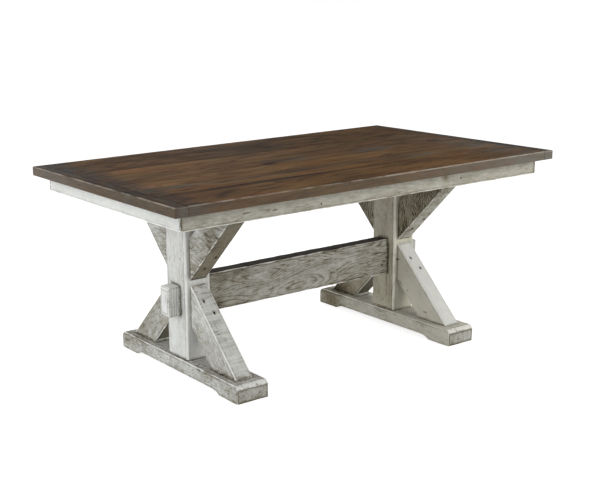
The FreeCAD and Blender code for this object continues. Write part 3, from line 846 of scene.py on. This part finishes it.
def stained_wood(name):
    """Dark brown stain on planks, with streaks along the grain, grey patches and pale worn arrises.

    Some of the grey is a painted sheen, the pale arrises are also a painted highlight, and the upright
    sides are painted a lighter brown as painted light.
    """
    n = Nodes(name)
    grain = n.attribute("grain", "Vector")
    lighter, greyer, edge = n.split(n.attribute("tone", "Vector"))
    wavy = n.wandering(grain, (0.30, 0.10, 0.10), reach=0.05)
    fibre = n.noise(wavy, (0.14, 0.0026, 0.0026), detail=5.0, rough=0.6)
    streak = n.noise(wavy, (0.22, 0.020, 0.020), detail=4.0, rough=0.6)
    patch = n.noise(wavy, (0.24, 0.070, 0.070), detail=4.0, rough=0.55)
    hue = n.noise(wavy, (0.18, 0.060, 0.060), detail=3.0)
    growth = n.noise(wavy, (1.2, 0.13, 0.13), detail=1.0)
    rings = n.step(n.contours(growth, count=14), 0.60, 1.0)
    pores = n.step(n.noise(wavy, (0.022, 0.0016, 0.0016), detail=1.0), 0.62, 0.74)
    seam = n.step(n.attribute("gap"), 0.0026, 0.0006)
    amount = n.weighted(
        (1.0, 0.45),
        (lighter, 1.0),
        (n.math("SUBTRACT", fibre, 0.5), 0.34),
        (n.math("SUBTRACT", streak, 0.5), 0.24),
        (n.math("SUBTRACT", patch, 0.5), 0.66),
        (rings, -0.12),
        (pores, -0.18),
        (seam, -0.30),
        (n.marks(STAIN_MARKS), -0.60),
    )
    brown = n.ramp(amount, [
        (0.0, (0.020, 0.015, 0.012)),
        (0.30, (0.078, 0.043, 0.020)),
        (0.55, (0.172, 0.095, 0.037)),
        (0.80, (0.264, 0.146, 0.057)),
        (1.0, (0.34, 0.21, 0.11)),
    ])
    mottle = n.step(n.noise(wavy, (0.09, 0.03, 0.03), detail=3.0), 0.35, 0.65)
    grey_share = n.math("MULTIPLY", n.weighted((mottle, 0.6), (1.0, 0.4)), greyer, clamp=True)
    tint = n.ramp(hue, [(0.36, (1.14, 0.95, 0.86)), (0.64, (0.96, 1.0, 0.86))])
    varied = n.mix(1.0, brown, tint, blend="MULTIPLY")
    greyed = n.mix(grey_share, varied, n.ramp(amount, [
        (0.0, (0.030, 0.030, 0.031)),
        (0.5, (0.112, 0.103, 0.090)),
        (1.0, (0.20, 0.185, 0.165)),
    ]))
    # The upright sides are painted a lighter, greyer brown, mottled: painted light on the sides
    side_mottle = n.noise(wavy, (0.05, 0.006, 0.006), detail=4.0)
    grey_edge = n.math("MULTIPLY", greyer, 1.0, clamp=True)
    lit_side_brown = n.mix(grey_edge, (0.160, 0.128, 0.098), (0.235, 0.218, 0.192))
    with_lit_sides = n.mix(n.math("MULTIPLY", edge, n.weighted((side_mottle, 0.7), (1.0, 0.2))), greyed, lit_side_brown)
    # A pale worn rim along the top's upper outer edges, which is also a painted highlight
    chip = n.noise(grain, (0.06, 0.06, 0.06), detail=4.0)
    ragged = n.weighted((n.attribute("edge"), 1.0), (chip, -0.0024), (1.0, 0.0005))
    worn_and_highlit = n.math("MULTIPLY", n.step(ragged, 0.0006, -0.0010), 0.74)
    colour = n.mix(worn_and_highlit, with_lit_sides, (0.46, 0.42, 0.365))
    height = n.weighted((fibre, 0.6), (rings, -0.3), (pores, -0.6), (seam, -0.8))
    roughness = n.weighted((amount, -0.15), (1.0, 0.60))
    return n.surface(colour, roughness, height, bump=0.0006, specular=0.004)


def bare_wood(name):
    """Planed softwood that nobody sees, under the top."""
    n = Nodes(name)
    grain = n.attribute("grain", "Vector")
    wavy = n.wandering(grain, (0.40, 0.10, 0.10), reach=0.03)
    fibre = n.noise(wavy, (0.12, 0.003, 0.003), detail=4.0)
    growth = n.noise(wavy, (1.0, 0.12, 0.12), detail=1.0)
    rings = n.step(n.contours(growth, count=14), 0.3, 1.0)
    # Painted shade where the softwood meets or comes close to another part
    contact_shade = n.step(n.attribute("gap"), 0.010, 0.0)
    amount = n.weighted((fibre, 0.5), (rings, 0.35), (contact_shade, 0.3))
    colour = n.ramp(amount, [
        (0.0, (0.58, 0.42, 0.25)),
        (0.5, (0.46, 0.30, 0.16)),
        (1.0, (0.24, 0.14, 0.07)),
    ])
    roughness = n.weighted((amount, 0.15), (1.0, 0.55))
    return n.surface(colour, roughness, fibre, bump=0.0005, specular=0.3)


def screw_metal(name, pale, dull, metallic):
    """Plated steel with tarnish and fine scratches."""
    n = Nodes(name)
    place = n.add("ShaderNodeTexCoord", output="Object")
    tarnish = n.noise(place, (0.004, 0.004, 0.004), detail=4.0)
    scratch = n.noise(place, (0.0006, 0.0006, 0.006), detail=2.0)
    n.shader.inputs["Metallic"].default_value = metallic
    colour = n.mix(n.step(tarnish, 0.35, 0.7), pale, dull)
    roughness = n.weighted((tarnish, 0.3), (scratch, 0.15), (1.0, 0.2))
    return n.surface(colour, roughness, scratch, bump=0.0001, specular=0.5)


def make_camera():
    """The camera at its place, turned by yaw and pitch and then rolled about its own axis."""
    forward = Vector((math.sin(CAMERA_YAW) * math.cos(CAMERA_PITCH),
                      math.cos(CAMERA_YAW) * math.cos(CAMERA_PITCH),
                      -math.sin(CAMERA_PITCH)))
    level = Vector((math.cos(CAMERA_YAW), -math.sin(CAMERA_YAW), 0.0))
    rise = level.cross(forward)
    right = math.cos(CAMERA_ROLL) * level + math.sin(CAMERA_ROLL) * rise
    up = right.cross(forward)
    data = bpy.data.cameras.new("camera")
    data.sensor_width = SENSOR_WIDTH
    data.lens = FOCAL_PIXELS * SENSOR_WIDTH / IMAGE_WIDTH
    data.shift_x = (IMAGE_WIDTH / 2 - PRINCIPAL_POINT[0]) / IMAGE_WIDTH
    data.shift_y = (PRINCIPAL_POINT[1] - IMAGE_HEIGHT / 2) / IMAGE_WIDTH
    camera = bpy.data.objects.new("camera", data)
    turn = Matrix((right, up, -forward)).transposed()
    camera.matrix_world = Matrix.Translation(CAMERA_PLACE) @ turn.to_4x4()
    bpy.context.scene.collection.objects.link(camera)
    bpy.context.scene.camera = camera


def area_light(name, place, target, width, height, power, colour=WHITE[:3]):
    """A rectangle of light that faces its target and isn't seen itself."""
    data = bpy.data.lights.new(name, "AREA")
    data.shape = "RECTANGLE"
    data.size = width
    data.size_y = height
    data.energy = power
    data.color = colour
    light = bpy.data.objects.new(name, data)
    light.location = place
    light.rotation_mode = "QUATERNION"
    light.rotation_quaternion = (Vector(target) - Vector(place)).to_track_quat("-Z", "Y")
    light.visible_camera = False
    bpy.context.scene.collection.objects.link(light)


def seen_directly(tree):
    """1 for camera, glossy and transmission rays."""
    path = tree.nodes.new("ShaderNodeLightPath")
    first = tree.nodes.new("ShaderNodeMath")
    first.operation = "MAXIMUM"
    tree.links.new(path.outputs["Is Camera Ray"], first.inputs[0])
    tree.links.new(path.outputs["Is Glossy Ray"], first.inputs[1])
    second = tree.nodes.new("ShaderNodeMath")
    second.operation = "MAXIMUM"
    tree.links.new(first.outputs[0], second.inputs[0])
    tree.links.new(path.outputs["Is Transmission Ray"], second.inputs[1])
    return second.outputs[0]


def show(tree, seen, unseen, output):
    """Gives one shader to the rays that see it directly, and another to the rest."""
    choose = tree.nodes.new("ShaderNodeMixShader")
    tree.links.new(seen_directly(tree), choose.inputs[0])
    tree.links.new(unseen.outputs[0], choose.inputs[1])
    tree.links.new(seen.outputs[0], choose.inputs[2])
    tree.links.new(choose.outputs[0], tree.nodes[output].inputs["Surface"])


def make_world(ambient):
    """White surroundings that give an even light of that strength."""
    world = bpy.data.worlds.new("studio")
    world.use_nodes = True
    tree = world.node_tree
    light = tree.nodes["Background"]
    light.inputs["Color"].default_value = WHITE
    light.inputs["Strength"].default_value = ambient
    white = tree.nodes.new("ShaderNodeBackground")
    white.inputs["Color"].default_value = WHITE
    white.inputs["Strength"].default_value = 1.0
    show(tree, seen=white, unseen=light, output="World Output")
    bpy.context.scene.world = world


def make_floor(half_width, glow, shade, bounce):
    """A pale floor that looks white and keeps the table's shadow."""
    mesh = bpy.data.meshes.new("floor")
    corners = [(-half_width, -half_width, 0), (half_width, -half_width, 0),
               (half_width, half_width, 0), (-half_width, half_width, 0)]
    mesh.from_pydata(corners, [], [(0, 1, 2, 3)])
    floor = bpy.data.objects.new("floor", mesh)
    bpy.context.scene.collection.objects.link(floor)
    material = bpy.data.materials.new("floor")
    material.use_nodes = True
    tree = material.node_tree
    tree.nodes.remove(tree.nodes["Principled BSDF"])
    plain = tree.nodes.new("ShaderNodeBsdfDiffuse")
    plain.inputs["Color"].default_value = (bounce, bounce, bounce, 1.0)
    dimmed = tree.nodes.new("ShaderNodeBsdfDiffuse")
    dimmed.inputs["Color"].default_value = (shade, shade, shade, 1.0)
    white = tree.nodes.new("ShaderNodeEmission")
    white.inputs["Color"].default_value = WHITE
    white.inputs["Strength"].default_value = glow
    bright = tree.nodes.new("ShaderNodeAddShader")
    tree.links.new(dimmed.outputs[0], bright.inputs[0])
    tree.links.new(white.outputs[0], bright.inputs[1])
    show(tree, seen=bright, unseen=plain, output="Material Output")
    mesh.materials.append(material)


make_camera()

stain = stained_wood("stained_planks")
paint = distressed_paint("distressed_white_paint")
bare = bare_wood("bare_softwood")
FINISHES = {
    "top_board": (BOARD_WEAR, stain, "stained_top"),
    "breadboard": (BOARD_WEAR, stain, "stained_top"),
    "apron": (BASE_WEAR, paint, "white_paint"),
    "post": (BASE_WEAR, paint, "white_paint"),
    "foot": (FOOT_WEAR, paint, "white_paint"),
    "lower_brace": (BASE_WEAR, paint, "white_paint"),
    "upper_brace": (UPPER_WEAR, paint, "white_paint"),
    "stretcher": (STRETCHER_WEAR, paint, "white_paint"),
    "bearer": (HIDDEN_WEAR, bare, "bare_wood"),
    "corner_block": (HIDDEN_WEAR, bare, "bare_wood"),
}
dark_steel = screw_metal("black_oxide_steel", pale=(0.030, 0.029, 0.028), dull=(0.075, 0.066, 0.058),
                         metallic=0.9)
zinc = screw_metal("zinc_plate", pale=(0.62, 0.63, 0.64), dull=(0.38, 0.38, 0.38), metallic=1.0)

for seed, node in enumerate(sorted(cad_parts)):
    if node.startswith("post_lag"):
        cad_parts[node].data.materials.clear()
        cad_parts[node].data.materials.append(zinc)
    elif node.endswith("screws"):
        turned_screws(node, dark_steel)
    else:
        kind = next(prefix for prefix in FINISHES if node.startswith(prefix))
        worn_piece(node, *FINISHES[kind], seed)

make_world(ambient=0.46)
make_floor(half_width=30.0, glow=0.80, shade=0.60, bounce=0.85)
area_light("window", place=(-3.2, 0.5, 1.3), target=(0.0, 0.0, 0.5), width=3.2, height=2.2, power=48)
area_light("back", place=(0.8, 3.4, 1.6), target=(0.0, 0.0, 0.4), width=3.0, height=2.0, power=22)
area_light("fill", place=(1.6, -3.0, 1.8), target=(0.3, 0.0, 0.4), width=2.6, height=2.0, power=46,
           colour=(1.0, 0.97, 0.90))

bpy.context.scene.view_settings.view_transform = "Standard"
